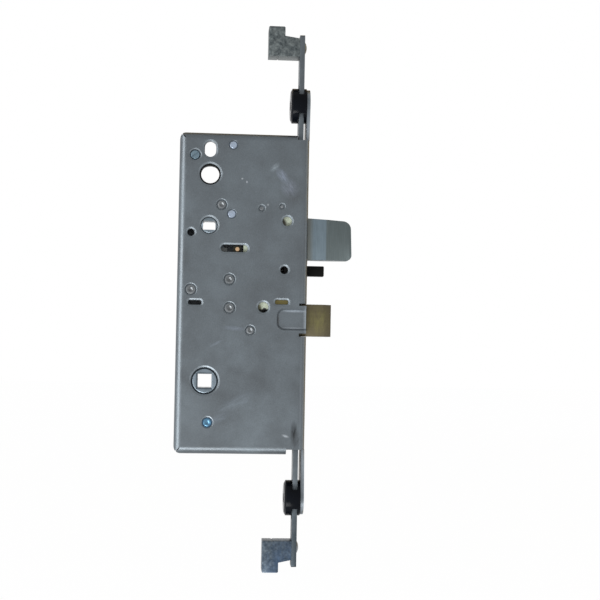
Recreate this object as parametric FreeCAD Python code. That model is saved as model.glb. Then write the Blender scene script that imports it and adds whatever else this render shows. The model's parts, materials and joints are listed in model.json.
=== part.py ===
import FreeCAD, Part
import math
import os

# Concealed rod mortise lock. Millimetres.
# Origin: outer face of the forend, midway between the two threaded inserts.
# +X is the way the bolts throw, +Z is up along the forend, -Y faces the pan side of the case.

os.makedirs("parts", exist_ok=True)
V = FreeCAD.Vector

# Clearances
running = 0.05        # radial, a shaft in its bore
slide_gap = 0.15      # each side of a pin in a slot
side_gap = 0.3        # between moving faces
seat_gap = 0.2        # a strip in its guide

# Case: a bent pan, closed by a flat cover
sheet = 2.0
cover_sheet = 1.5
bend = 4.5
backset = 60.0        # forend to the lever follower's axis
back_room = 17.5      # follower's axis to the case's back
case_top = 99.1
case_bottom = -91.9
near_face = -9.1
case_thickness = 20.0
open_end = 11.0       # no bottom wall this near the forend
top_open_end = 7.2    # and no top wall this near
end_step = 3.1        # the side plate is shorter there
corner_round = 4.6
corner_slit = 0.55
corner_slit_length = 4.9

# Forend tongues and fixing inserts
insert_spacing = 236.0
tongue_round = 9.8
tongue_near = -6.5
tongue_far = 10.4
edge_notch = 1.8
insert_bore = 2.1
insert_flange = 3.35
insert_shank = 2.9
disc_radius = 10.5
disc_depth = 8.5
disc_dome = 1.0
disc_dome_radius = 8.6

# Rod strips and end blocks
strip_width = 11.4
strip_thick = 3.0
strip_front = -3.6
rod_travel = 9.5
top_strip_start = 60.0
bottom_strip_start = -58.5
strip_corner = 1.5
block_rivet_radius = 4.1
block_rivet_head = 1.4
block_rivet_dimple = 0.5
block_rivet_shank = 2.5
# A block's foot is its distance from the middle of the forend, the rest are its own sizes
top_block = {"foot": 147.2, "depth": 18.9, "tall": 9.9, "height": 18.0, "step": 12.4, "lip": 11.1}
bottom_block = {"foot": 143.0, "depth": 17.4, "tall": 9.7, "height": 18.6, "step": 12.7, "lip": 11.1}
top_strip_over = 13.3     # strip beyond the block's foot
bottom_strip_over = 15.4
top_rivet_up = 6.3        # rivet's centre beyond the block's foot
bottom_rivet_up = 4.2
block_edge = 0.8
block_groove = 5.6    # from a block's rear face to the groove in its foot

# Latch
latch_low = 24.4
latch_high = 49.4
latch_slope = 1.3
latch_near = -4.7
latch_far = 4.5
latch_throw = 27.0
latch_bevel_start = 12.3
latch_nose = 4.4
latch_back = -10.0
latch_top_round = 5.0
latch_low_round = 3.5
latch_lean = 0.8      # the nose leans back by this at its top
latch_pin_up = 13.1   # highest place of the lever's pin above the latch's underside
tail_wall = 1.0
latch_spring_down = 4.6
latch_spring_radius = 2.3
latch_bore_end = 5.0

# Trigger
trigger_low = 14.9
trigger_high = 21.1
trigger_tip = 10.6
trigger_travel = 8.3
trigger_split = 0.5
trigger_far = 5.4
trigger_metal_near = -4.45
trigger_back = -11.0
carrier_back = -14.0
trigger_plate_low = 7.5
trigger_plate_high = 15.5
trigger_plate_end = -52.0
trigger_arm_half = 2.4
trigger_pin = (-42.1, 29.5)
trigger_pin_radius = 1.2
trigger_spring_z = 18.0
trigger_spring_y = -2.0
trigger_spring_radius = 1.7
trigger_spring_length = 20.0
trigger_window = (-6.2, 5.7)
window_round = 1.0

# Deadbolt
bolt_low = -21.5
bolt_high = -2.4
bolt_near = -5.5
bolt_far = 8.6
bolt_tip = 14.9
bolt_throw = 14.4
bolt_chamfer = (4.9, 2.9)
bolt_back = -2.7
bolt_shank_back = -15.5
bolt_shank_far = 1.2
tail_low = -15.2
tail_high = -9.2
tail_riser = 4.5
tail_slot_wall = 1.9
tail_rivet_radius = 1.25
tail_rivet_ahead = -9.8
bolt_pocket_end = -8.0
bolt_relief = 1.2
relief_depth = 4.7
channel_depth = 1.2
channel_low = -18.2
channel_high = -5.2
channel_end = -18.0
channel_round = 4.4
channel_rim = 1.1

# Lever follower
follower = (-backset, -48.9)
follower_square = 8.2
square_chamfer = 0.9
journal_edge = 0.9
follower_journal = 7.9
follower_body = 11.0
follower_arm = 13.9

# Pivots and pillars: centre, visible rivet radius
pivot = (-33.7, -18.6)
pillar_shank = 3.0
pivot_rivet = 2.5
guide_post = (follower[0] + 13.8, -5.5)
lower_post = (follower[0] + 2.1, -73.3)
upper_posts = [(-45.6, 91.8, 2.4), (-45.8, 50.5, 2.5), (-51.9, 55.8, 2.7)]
lower_post_rivet = 2.75
post_shoulder = 0.5
trigger_stud = (-46.5, 11.4)
rest_stud = (follower[0] - 9.3, 5.0)
stud_ring = 3.0
stud_shank = 2.0
guide_rivets = [(-28.1, 54.2, 1.5), (-15.9, 55.6, 1.2)]
edge_break = 0.5
rivet_dimple = (1.35, 0.6, 0.5)
rim_break = 0.3       # rolled edge of each hole pierced in the pan

# Reversing lever and latch lever on the pivot pillar
lever_hub = 5.0
reverse_arm = 12.0
lever_end = 2.8
lever_pin = 1.6
cam_arm = 20.0
cam_pin = 2.0
cam_slack = 0.3

# Drive slides
slide_wall = 1.2
bottom_slide_right = -29.2
bottom_slide_wide = -24.0
bottom_slide_top = 0.0
bottom_slide_step = -41.0
foot_low = -77.0
foot_high = -60.0
top_slide_left = -27.0
top_slide_right = -17.4
top_slide_low = -18.0
top_arm_low = 62.0
top_arm_high = 72.0
flange_near = -5.0
flange_thick = 2.0
slide_rivet_radius = 1.5
return_spring_x = -40.0
return_spring_y = 6.7
return_spring_radius = 2.4
return_spring_length = 28.0
seat_half = 3.0
seat_thick = 2.0

# Thumbturn hub
hub = (follower[0] + 0.9, 43.3)
hub_opening = 5.0
hub_face = 4.65
hub_flange = 8.0
hub_rear = 7.0
hub_slot = (7.4, 5.2)
hub_slot_depth = 7.5
hub_rear_bore = 4.8
hub_arm = 18.0
hub_arm_root = 4.5
hub_pin = 1.6
detent_thick = 0.6
detent_reach = 7.0     # from the hub's axis to the leaf's tip
detent_span = (2.5, 5.5)

# Openings of the pan that only show what lies behind
escutcheon = (hub[0], 73.9)
escutcheon_rim = 6.25
escutcheon_lip = 5.4
escutcheon_lip_depth = 3.0
escutcheon_bore = 7.5
escutcheon_wall = 1.5
fixing_oval = (hub[0] - 0.2, 88.9)
oval_width = 6.9
oval_height = 9.4
pin_slot = (-51.9, -35.9, 29.9, 2.1)
plain_slots = [(follower[0] - 6.65, -2.65), (-15.2, -1.55)]
plain_slot_size = (7.8, 2.6)
plain_slot_round = 1.0
sight_holes = [(-12.7, 46.8, 2.8), (hub[0] - 10.7, 38.9, 2.1), (-14.0, 17.6, 2.3), (-26.1, -4.8, 3.1)]
forend_screw_hole = (0.5, 4.0, 1.8)
forend_screw_mouth = 2.7
tab_low = 10.0
tab_high = 20.0
screw_place = (follower[0] - 8.2, 85.3)
screw_head = 3.0
screw_head_depth = 1.9
screw_shank = 1.5
screw_slot = 0.9
screw_slot_turn = -40.0

# Nylon guides on the pan
guide_front = -4.8
guide_step = (-8.8, 51.5)
guide_top = 57.5
guide_shoulder = -34.0
guide_back = -38.5
guide_under = 1.5
rail_thick = 1.6
seat_half_tall = 3.2
seat_deep = 2.2
bolt_guide_back = -30.0
bolt_guide_front = -20.0
bolt_guide_low = -6.0
bolt_guide_high = 1.8
brake_leaf_front = -5.2
brake_leaf_thick = 0.6

# Layers between the pan and the cover, each a near and a far face
inner_near = near_face + sheet
cover_far = near_face + case_thickness
cover_near = cover_far - cover_sheet
fixed_layer = (inner_near, -5.8)
carrier_layer = (-6.8, -5.4)
tail_layer = (-4.6, -2.2)
arm_layer = (-1.9, 0.7)
latch_lever_layer = (1.6, 3.4)
reverse_layer = (3.7, 6.1)
slide_layer = (6.5, 9.1)

# Heights and depths that follow
case_back = -(backset + back_room)
plate_top = case_top - end_step
plate_bottom = case_bottom + end_step
insert_z = insert_spacing / 2
strip_back = strip_front - strip_thick
latch_middle = (latch_near + latch_far) / 2
latch_spring_z = latch_high - latch_spring_down
latch_arm_height = latch_low + latch_pin_up - pivot[1]
latch_swing = math.degrees(math.asin(latch_throw / 2 / latch_arm_height))
reverse_swing = math.degrees(math.asin(rod_travel / 2 / reverse_arm))
follower_start = -math.degrees(math.asin(rod_travel / 2 / follower_arm))
hub_swing = math.degrees(math.asin(bolt_throw / 2 / hub_arm))


def box(x0, x1, y0, y1, z0, z1):
    return Part.makeBox(x1 - x0, y1 - y0, z1 - z0, V(x0, y0, z0))


def round_y(place, radius, y0, y1):
    return Part.makeCylinder(radius, y1 - y0, V(place[0], y0, place[1]), V(0, 1, 0))


def round_x(y, z, radius, x0, x1):
    return Part.makeCylinder(radius, x1 - x0, V(x0, y, z), V(1, 0, 0))


def cone_y(place, r0, r1, y0, y1):
    return Part.makeCone(r0, r1, y1 - y0, V(place[0], y0, place[1]), V(0, 1, 0))


def fused(shapes):
    return shapes[0].multiFuse(shapes[1:]).removeSplitter()


def polar(centre, length, degrees):
    turn = math.radians(degrees)
    return (centre[0] + length * math.cos(turn), centre[1] + length * math.sin(turn))


def prism_y(points, y0, y1):
    """Prism along Y over an outline of (x, z) points."""
    corners = [V(x, y0, z) for x, z in points]
    return Part.Face(Part.makePolygon(corners + corners[:1])).extrude(V(0, y1 - y0, 0))


def prism_z(points, z0, z1):
    """Prism along Z over an outline of (x, y) points."""
    corners = [V(x, y, z0) for x, y in points]
    return Part.Face(Part.makePolygon(corners + corners[:1])).extrude(V(0, 0, z1 - z0))


def link(start, r0, end, r1, y0, y1):
    """Flat link along Y: two round ends joined by their outer tangents."""
    run = math.hypot(end[0] - start[0], end[1] - start[1])
    way = math.degrees(math.atan2(end[1] - start[1], end[0] - start[0]))
    lean = math.degrees(math.acos((r0 - r1) / run))

    def on(centre, radius, degrees):
        x, z = polar(centre, radius, degrees)
        return V(x, y0, z)

    left_start, left_end = on(start, r0, way + lean), on(end, r1, way + lean)
    right_end, right_start = on(end, r1, way - lean), on(start, r0, way - lean)
    edges = [
        Part.makeLine(left_start, left_end),
        Part.Arc(left_end, on(end, r1, way), right_end).toShape(),
        Part.makeLine(right_end, right_start),
        Part.Arc(right_start, on(start, r0, way + 180), left_start).toShape(),
    ]
    return Part.Face(Part.Wire(edges)).extrude(V(0, y1 - y0, 0))


def level_slot(x0, x1, z, half, y0, y1):
    return link((x0 + half, z), half, (x1 - half, z), half, y0, y1)


def upright_slot(x, z0, z1, half, y0, y1):
    return link((x, z0 + half), half, (x, z1 - half), half, y0, y1)


def save(name, shape):
    shape.exportStep("parts/" + name + ".step")
    print(name, len(shape.Solids), round(shape.Volume, 1), shape.isValid())


def mirrored_low(shape):
    """The same shape below Z 0 instead of above it."""
    return shape.mirror(V(0, 0, 0), V(0, 0, 1))


# Case pan


def bent_block(x0, x1, y0, y1, z0, z1, radius, sides):
    """Box with a bend radius on the chosen edges of its near face."""
    block = box(x0, x1, y0, y1, z0, z1)
    picked = []
    for edge in block.Edges:
        middle = edge.CenterOfMass
        if abs(middle.y - y0) > 0.001:
            continue
        side = {
            "back": abs(middle.x - x0) < 0.001,
            "front": abs(middle.x - x1) < 0.001,
            "bottom": abs(middle.z - z0) < 0.001,
            "top": abs(middle.z - z1) < 0.001,
        }
        if any(side[name] for name in sides):
            picked.append(edge)
    return block.makeFillet(radius, picked)


def case_shell():
    wide = ["back", "top", "bottom"]
    outer = fused([
        bent_block(case_back, -open_end, near_face, cover_near, case_bottom, case_top, bend, wide),
        bent_block(-open_end, -top_open_end, near_face, cover_near, 0, case_top, bend, ["top"]),
        bent_block(-open_end, 0, near_face, cover_near, plate_bottom, plate_top, bend, ["front"]),
    ])
    inner = fused([
        bent_block(case_back + sheet, -open_end, inner_near, cover_far, case_bottom + sheet,
                   case_top - sheet, bend - sheet, wide),
        bent_block(-open_end, -top_open_end, inner_near, cover_far, 0, case_top - sheet, bend - sheet, ["top"]),
        bent_block(-open_end, -sheet, inner_near, cover_far, case_bottom, plate_bottom + sheet,
                   bend - sheet, ["front"]),
        bent_block(-top_open_end, -sheet, inner_near, cover_far, 0, case_top, bend - sheet, ["front"]),
        bent_block(-open_end, -sheet, inner_near, cover_far, plate_bottom, sheet, bend - sheet, ["front"]),
    ])
    return outer.cut(inner)


def tongue(plate_end):
    """Upper tongue of the forend, from the case end to its round end over the insert."""
    centre = V(0, 0, insert_z)

    def touch(y, side):
        to_point = (y, plate_end - insert_z)
        run = math.hypot(*to_point)
        turn = math.atan2(to_point[1], to_point[0]) + side * math.acos(tongue_round / run)
        return centre + V(0, tongue_round * math.cos(turn), tongue_round * math.sin(turn))

    near, far = V(0, tongue_near, plate_end), V(0, tongue_far, plate_end)
    near_touch, far_touch = touch(tongue_near, -1), touch(tongue_far, 1)
    edges = [
        Part.makeLine(near, near_touch),
        Part.Arc(near_touch, centre + V(0, 0, tongue_round), far_touch).toShape(),
        Part.makeLine(far_touch, far),
        Part.makeLine(far, near),
    ]
    plate = Part.Face(Part.Wire(edges)).extrude(V(-sheet, 0, 0))
    notch = round_x(tongue_far + edge_notch / 2, plate_end + edge_notch, edge_notch, -sheet - 1, 1)
    return plate.cut(notch.fuse(round_x(0, insert_z, insert_flange, -sheet - 1, 1)))


def corner_relief(z, up):
    """Rounded corner and diagonal slit where the back bend meets the top or bottom bend."""
    centre = (case_back + corner_round, z - up * corner_round)
    low, high = sorted([z - up * corner_round, z + up])
    square = box(case_back - 1, case_back + corner_round, near_face - 1, cover_far + 1, low, high)
    corner = square.cut(round_y(centre, corner_round, near_face - 1, cover_far + 1))
    slit = box(-1, corner_slit_length, near_face - 1, cover_far, -corner_slit / 2, corner_slit / 2)
    slit.rotate(V(0, 0, 0), V(0, 1, 0), 45 * up)
    slit.translate(V(case_back, 0, z))
    return fused([corner, slit])


def pierced(outline):
    """Cutter through the side plate, wider at the rolled edge of its outer face."""
    depth = near_face + rim_break
    mouth = outline(rim_break, near_face - 1, depth)
    far = [e for e in mouth.Edges if all(abs(v.Y - depth) < 0.001 for v in e.Vertexes)]
    return fused([outline(0, near_face - 1, inner_near + 1), mouth.makeChamfer(rim_break, far)])


def pierced_round(place, radius):
    return pierced(lambda grow, y0, y1: round_y(place, radius + grow, y0, y1))


def pierced_oval():
    return pierced(lambda grow, y0, y1: oval(y0, y1, 0, grow))


def pierced_level(x0, x1, z, half):
    return pierced(lambda grow, y0, y1: level_slot(x0 - grow, x1 + grow, z, half + grow, y0, y1))


def pierced_plain(x, z):
    wide, tall = plain_slot_size[0] / 2, plain_slot_size[1] / 2
    return pierced(lambda grow, y0, y1: rounded_box(
        (x - wide - grow, x + wide + grow), (y0, y1), (z - tall - grow, z + tall + grow),
        plain_slot_round + grow, "y"))


def rounded_box(span_x, span_y, span_z, radius, along):
    """Box whose edges along one axis are rounded."""
    block = box(*span_x, *span_y, *span_z)
    picked = []
    for edge in block.Edges:
        ends = edge.Vertexes[1].Point - edge.Vertexes[0].Point
        if abs(getattr(ends, along)) > 0.001:
            picked.append(edge)
    return block.makeFillet(radius, picked)


def window(y0, y1, z0, z1):
    """Cutter for a round-cornered window through the forend and its bend."""
    return rounded_box((-bend, 1), (y0, y1), (z0, z1), window_round, "x")


def channel_recess():
    """Pressing in the side plate beside the deadbolt, seen from outside, with a soft rim."""
    span = (channel_end, bend)
    floor = near_face + channel_depth
    press = rounded_box(span, (near_face - channel_rim, floor), (channel_low, channel_high), channel_round, "y")
    rim = [e for e in press.Edges if abs(e.CenterOfMass.y - floor) < 0.001]
    return press.makeChamfer(channel_rim, rim)


def channel_bump():
    """The same pressing from inside."""
    out = channel_depth
    bump = rounded_box((channel_end - out, bend), (inner_near, inner_near + channel_depth),
                       (channel_low - out, channel_high + out), channel_round + out, "y")
    return bump.common(box(case_back, -0.4, near_face, cover_far, case_bottom, case_top))


def case_pan():
    far_strip = box(-sheet, 0, cover_near, cover_far, plate_bottom, plate_top)
    shell = fused([case_shell(), far_strip, tongue(plate_top), mirrored_low(tongue(-plate_bottom))])

    window_low, window_high = bolt_low - side_gap, bolt_high + side_gap
    shell = shell.cut(box(-relief_depth, 1, near_face - 1, cover_far + 1, window_low, window_high))
    flat = box(-relief_depth, -0.4, near_face, inner_near, window_low + bolt_relief + 0.7,
               window_high - bolt_relief - 0.2)
    shell = fused([shell, flat, channel_bump()]).cut(channel_recess())

    cuts = [
        window(latch_near - 2 * side_gap, latch_far + side_gap, latch_low - 6 * side_gap, latch_high + side_gap),
        window(trigger_window[0], trigger_window[1], trigger_low - 2 * side_gap, trigger_high + 2 * side_gap),
        round_x(forend_screw_hole[0], forend_screw_hole[1], forend_screw_hole[2], -sheet - 1, 1),
        Part.makeCone(forend_screw_hole[2], forend_screw_mouth, sheet / 2,
                      V(-sheet / 2, forend_screw_hole[0], forend_screw_hole[1]), V(1, 0, 0)),
        window(cover_near - 3 * side_gap, cover_far + 2 * window_round, tab_low, tab_high),
        pierced_round(follower, follower_journal + running),
        pierced_round(hub, hub_opening),
        pierced_round(escutcheon, escutcheon_rim),
        pierced_oval(),
        pierced_level(*pin_slot),
        pierced_round(screw_place, screw_head),
        corner_relief(case_top, 1),
        corner_relief(case_bottom, -1),
    ]
    cuts += [pierced_plain(x, z) for x, z in plain_slots]
    cuts += [pierced_round((x, z), radius) for x, z, radius in sight_holes]
    for x, z, radius in rivet_places():
        cuts.append(round_y((x, z), radius, near_face - 1, inner_near + 1))
        cuts.append(cone_y((x, z), radius + edge_break, radius, near_face, near_face + edge_break))
    pan = shell.cut(cuts)
    lug = box(carrier_back - trigger_spring_length - 1.6, carrier_back - trigger_spring_length, inner_near, 0,
              trigger_spring_z - 2.1, trigger_spring_z + 2.1)
    return fused([pan, lug])


def rivet_places():
    """Centre and radius of each rivet or stud end that shows in the pan's face."""
    places = [(*pivot, pivot_rivet), (*guide_post, pillar_shank), (*lower_post, lower_post_rivet)]
    places += upper_posts + guide_rivets
    places += [(*trigger_stud, stud_ring), (*rest_stud, stud_ring)]
    return places


def oval(y0, y1, extra_up, grow=0):
    """Upright oval opening for a furniture fixing, taller on the cover side."""
    rise = (oval_height - oval_width) / 2
    x, z = fixing_oval
    half = oval_width / 2 + grow
    return link((x, z - rise), half, (x, z + rise + extra_up), half, y0, y1)


save("case_pan", case_pan())


# Cover plate: flat, with a tab in the forend's edge and a bent lug for the return spring


def cover_plate():
    plate = fused([
        box(case_back, -open_end, cover_near, cover_far, case_bottom, case_top),
        box(-open_end, -sheet - 0.1, cover_near, cover_far, plate_bottom, plate_top),
        box(-sheet - 0.2, 0, cover_near, cover_far, tab_low + side_gap, tab_high - side_gap),
    ])
    cuts = [
        round_y(follower, follower_journal + running, cover_near - 1, cover_far + 1),
        round_y(hub, hub_rear + running, cover_near - 1, cover_far + 1),
        round_y(escutcheon, escutcheon_bore, cover_near - 1, cover_far + 1),
        oval(cover_near - 1, cover_far + 1, 3.0),
        corner_relief(case_top, 1),
        corner_relief(case_bottom, -1),
    ]
    for x, z, radius in rivet_places()[:3] + upper_posts:
        cuts.append(round_y((x, z), radius, cover_near - 1, cover_far + 1))
    spring_top = bottom_slide_top + return_spring_length
    lug = box(return_spring_x - seat_half, return_spring_x + seat_half, slide_layer[0] - 2.3, cover_near,
              spring_top, spring_top + seat_thick)
    return fused([plate.cut(cuts), lug])


save("cover_plate", cover_plate())


# Pillars that tie the pan to the cover, riveted at both ends


def dimple(place):
    """Mark of the riveting tool in the middle of a spun end."""
    mouth, tip, depth = rivet_dimple
    return cone_y(place, mouth, tip, near_face, near_face + depth)


def pillar(place, rivet, shank, dimpled=True):
    body = round_y(place, shank, inner_near, cover_near)
    tenon = round_y(place, rivet, near_face + edge_break, cover_far)
    head = cone_y(place, rivet - edge_break, rivet, near_face, near_face + edge_break)
    spun = fused([body, tenon, head])
    return spun.cut(dimple(place)) if dimpled else spun


flat_ended = upper_posts[:2]
save("upper_pillars", Part.Compound([
    pillar(post[:2], post[2], post[2] + post_shoulder, post not in flat_ended) for post in upper_posts]))
save("pivot_pillar", pillar(pivot, pivot_rivet, pillar_shank))
save("guide_pillar", pillar(guide_post, pillar_shank, pillar_shank))
save("lower_pillar", pillar(lower_post, lower_post_rivet, lower_post_rivet + post_shoulder))


# Studs and rivets that stand on the pan only


def stud(place, shank, far):
    ring = round_y(place, stud_ring, near_face + edge_break, inner_near)
    head = cone_y(place, stud_ring - edge_break, stud_ring, near_face, near_face + edge_break)
    return fused([ring, head, round_y(place, shank, inner_near, far)]).cut(dimple(place))


save("trigger_guide_stud", stud(trigger_stud, stud_shank, carrier_layer[1] + 0.3))
save("tail_rest_stud", stud(rest_stud, stud_ring, tail_layer[0] - side_gap))


def guide_rivet(x, z, radius):
    shank = round_y((x, z), radius, near_face + edge_break, fixed_layer[1] + 0.4)
    return fused([shank, cone_y((x, z), radius - edge_break, radius, near_face, near_face + edge_break)])


save("guide_rivets", Part.Compound([guide_rivet(*place) for place in guide_rivets]))


# Cover screw, slotted head flush in the pan, and its threaded post


def cover_screw():
    head = round_y(screw_place, screw_head - running, near_face + edge_break, near_face + screw_head_depth)
    bevel = cone_y(screw_place, screw_head - running - edge_break, screw_head - running, near_face,
                   near_face + edge_break)
    shank = round_y(screw_place, screw_shank, near_face, cover_near - 4)
    slot = box(-screw_head, screw_head, near_face - 1, near_face + 0.7, -screw_slot / 2, screw_slot / 2)
    slot.rotate(V(0, 0, 0), V(0, 1, 0), screw_slot_turn)
    slot.translate(V(screw_place[0], 0, screw_place[1]))
    return fused([head, bevel, shank]).cut(slot)


def screw_post():
    post = round_y(screw_place, screw_head + post_shoulder, inner_near, cover_near)
    return post.cut(round_y(screw_place, screw_shank + running, inner_near - 1, cover_near - 3))


save("cover_screw", cover_screw())
save("screw_post", screw_post())


# Escutcheon bush: black liner of the large hole, with a thin lip at the pan


def escutcheon_bush():
    outer = round_y(escutcheon, escutcheon_bore + escutcheon_wall, inner_near, cover_near)
    lip = round_y(escutcheon, escutcheon_rim - running, near_face + 0.9, inner_near)
    bore = round_y(escutcheon, escutcheon_bore, near_face + 0.9 + escutcheon_lip_depth, cover_near + 1)
    return fused([outer, lip]).cut([bore, round_y(escutcheon, escutcheon_lip, near_face - 1, cover_near)])


save("escutcheon_bush", escutcheon_bush())


# Latch head: double bevelled, with a tail for its lever and a blind bore for its spring


def latch_head():
    low, high, tip = latch_low, latch_high, latch_throw
    nose_top = (tip - latch_lean, high - latch_slope)
    profile = prism_y([(latch_back, low), (tip, low), nose_top, (0, high), (latch_back, high)],
                      latch_near - 1, latch_far + 1)
    for place, radius in (((tip, low), latch_low_round), (nose_top, latch_top_round)):
        edges = [e for e in profile.Edges
                 if abs(e.CenterOfMass.x - place[0]) < 0.001 and abs(e.CenterOfMass.z - place[1]) < 0.001]
        profile = profile.makeFillet(radius, edges)
    plan = prism_z([
        (latch_back, latch_near), (latch_bevel_start, latch_near), (tip, latch_middle - latch_nose / 2),
        (tip, latch_middle + latch_nose / 2), (latch_bevel_start, latch_far), (latch_back, latch_far),
    ], low - 1, high + 1)
    head = profile.common(plan)
    bore = round_x(latch_middle, latch_spring_z, latch_spring_radius + 0.4, latch_back - 1, latch_bore_end)
    pin_x, pin_z = polar(pivot, latch_arm_height, 90 - latch_swing)
    half = lever_pin + slide_gap
    slot_low = pin_z - half
    slot_high = latch_low + latch_pin_up + half
    tail = box(pin_x - half - tail_wall, latch_back, *arm_layer, slot_low - tail_wall, slot_high + tail_wall)
    slot = upright_slot(pin_x, slot_low, slot_high, half, arm_layer[0] - 1, arm_layer[1] + 1)
    return fused([head.cut(bore), tail]).cut(slot)


save("latch_head", latch_head())


# Latch guide: pale nylon plate on the pan, with a rail over the latch and a seat for its spring

seat_x = latch_back - latch_throw - 1.6


def latch_guide():
    seat_low, seat_high = latch_spring_z - seat_half_tall, latch_spring_z + seat_half_tall
    low = latch_low - guide_under
    plate = prism_y([
        (guide_shoulder, guide_top), (guide_step[0], guide_top), guide_step, (guide_front, guide_step[1]),
        (guide_front, low), (guide_back, low), (guide_back, seat_low), (seat_x - seat_deep, seat_low),
        (seat_x - seat_deep, seat_high), (guide_shoulder, seat_high),
    ], *fixed_layer)
    rail = box(guide_shoulder, strip_back - 0.8, inner_near, latch_far + 0.5, latch_high + 0.5,
               latch_high + 0.5 + rail_thick)
    seat = box(seat_x - seat_deep, seat_x, inner_near, latch_middle + latch_spring_radius + 0.4, seat_low,
               seat_high)
    holes = [round_y((x, z), r, near_face, 0) for x, z, r in guide_rivets]
    return fused([plate, rail, seat]).cut(holes)


save("latch_guide", latch_guide())


# Springs: kept as plain tubes, out of sight inside the case


def tube_x(y, z, radius, x0, x1):
    return round_x(y, z, radius, x0, x1).cut(round_x(y, z, radius - 0.7, x0 - 1, x1 + 1))


save("latch_spring", tube_x(latch_middle, latch_spring_z, latch_spring_radius, seat_x, latch_bore_end))
save("trigger_spring", tube_x(trigger_spring_y, trigger_spring_z, trigger_spring_radius,
                              carrier_back - trigger_spring_length, carrier_back))


def return_spring():
    foot = V(return_spring_x, return_spring_y, bottom_slide_top)
    outer = Part.makeCylinder(return_spring_radius, return_spring_length, foot, V(0, 0, 1))
    return outer.cut(Part.makeCylinder(return_spring_radius - 0.8, return_spring_length, foot, V(0, 0, 1)))


save("drive_return_spring", return_spring())


# Trigger: black nylon head on a metal carrier, whose plate slides on the pan behind a brass pin


def trigger_head():
    head = box(trigger_back, trigger_tip, trigger_split, trigger_far, trigger_low, trigger_high)
    tip_edges = [e for e in head.Edges if abs(e.CenterOfMass.x - trigger_tip) < 0.001]
    return head.makeFillet(0.6, tip_edges)


def trigger_carrier():
    foot = box(carrier_back, -bend - 0.3, carrier_layer[0], trigger_split, trigger_low, trigger_high)
    nose = box(carrier_back, -side_gap, trigger_metal_near, trigger_split, trigger_low, trigger_high)
    plate = box(trigger_plate_end, -8.0, *carrier_layer, trigger_plate_low, trigger_plate_high)
    x, z = trigger_pin
    arm = box(x - trigger_arm_half, x + trigger_arm_half, *carrier_layer, trigger_plate_high - 1, z + 2.0)
    slot = level_slot(trigger_stud[0] - stud_shank - slide_gap,
                      trigger_stud[0] + trigger_travel + stud_shank + slide_gap, trigger_stud[1],
                      stud_shank + slide_gap, carrier_layer[0] - 1, carrier_layer[1] + 1)
    hole = round_y(trigger_pin, trigger_pin_radius, carrier_layer[0] - 1, carrier_layer[1] + 1)
    return fused([foot, nose, plate, arm]).cut([slot, hole])


save("trigger_head", trigger_head())
save("trigger_carrier", trigger_carrier())
save("trigger_pin", round_y(trigger_pin, trigger_pin_radius, near_face + 0.2, carrier_layer[1]))


# Deadbolt: brass-toned head with a reduced shank, riveted to a flat tail that rises to the hub


def deadbolt_head():
    run, drop = bolt_chamfer
    head = prism_z([
        (bolt_back, bolt_near), (bolt_tip - run, bolt_near), (bolt_tip, bolt_near + drop),
        (bolt_tip, bolt_far), (bolt_back, bolt_far),
    ], bolt_low, bolt_high)
    shank = box(bolt_shank_back, bolt_back, bolt_near + 0.2, bolt_shank_far, bolt_low + 0.3, bolt_high - 0.3)
    pocket = box(bolt_shank_back - 1, bolt_pocket_end, *tail_layer, tail_low, tail_high)
    cuts = [pocket] + [round_y(place, tail_rivet_radius, bolt_near - 1, bolt_far + 1) for place in tail_rivets]
    return fused([head, shank]).cut(cuts)


tail_middle = (tail_low + tail_high) / 2
tail_rivets = [(bolt_shank_back + 2.2, tail_middle), (tail_rivet_ahead, tail_middle)]


def deadbolt_tail():
    x, z = hub_pin_place
    drop = hub_arm * (1 - math.cos(math.radians(hub_swing)))
    half = hub_pin + slide_gap
    slot_low, slot_high = z - drop - half, z + half
    left, right = hub[0] - 0.9, x + half + tail_slot_wall
    low, high = slot_low - 2 * tail_slot_wall, slot_high + tail_slot_wall
    bar = box(left, bolt_pocket_end, *tail_layer, tail_low, tail_high)
    riser = box(left, left + tail_riser, *tail_layer, tail_low, high)
    plate = box(left, right, *tail_layer, low, high)
    slot = upright_slot(x, slot_low, slot_high, half, tail_layer[0] - 1, tail_layer[1] + 1)
    holes = [round_y(place, tail_rivet_radius, tail_layer[0] - 1, tail_layer[1] + 1) for place in tail_rivets]
    return fused([bar, riser, plate]).cut([slot] + holes)


hub_pin_place = polar(hub, hub_arm, hub_swing - 90)
save("deadbolt_head", deadbolt_head())
save("deadbolt_tail", deadbolt_tail())
rivet_span = (bolt_near + 0.2, bolt_shank_far)
save("deadbolt_tail_rivets", Part.Compound([round_y(place, 1.25, *rivet_span) for place in tail_rivets]))

save("deadbolt_guide", box(bolt_guide_back, bolt_guide_front, *fixed_layer, bolt_guide_low, bolt_guide_high))


def brake_leaf():
    """Brass leaf between the guide and the forend, folded once along its upper edge."""
    low = channel_high + channel_depth + 0.2
    flat = box(bolt_guide_front, brake_leaf_front, inner_near, inner_near + brake_leaf_thick, low, bolt_guide_high)
    fold = box(bolt_guide_front, brake_leaf_front, inner_near, fixed_layer[1],
               bolt_guide_high - brake_leaf_thick, bolt_guide_high)
    return fused([flat, fold])


save("deadbolt_brake_leaf", brake_leaf())


# Lever follower: square hub that turns in the pan and the cover, with one driving arm


def square_hole(place, size, chamfer, y0, y1):
    half = size / 2
    x, z = place
    points = [
        (half, half - chamfer), (half - chamfer, half), (chamfer - half, half), (-half, half - chamfer),
        (-half, chamfer - half), (chamfer - half, -half), (half - chamfer, -half), (half, chamfer - half),
    ]
    return prism_y([(x + a, z + b) for a, b in points], y0, y1)


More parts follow.
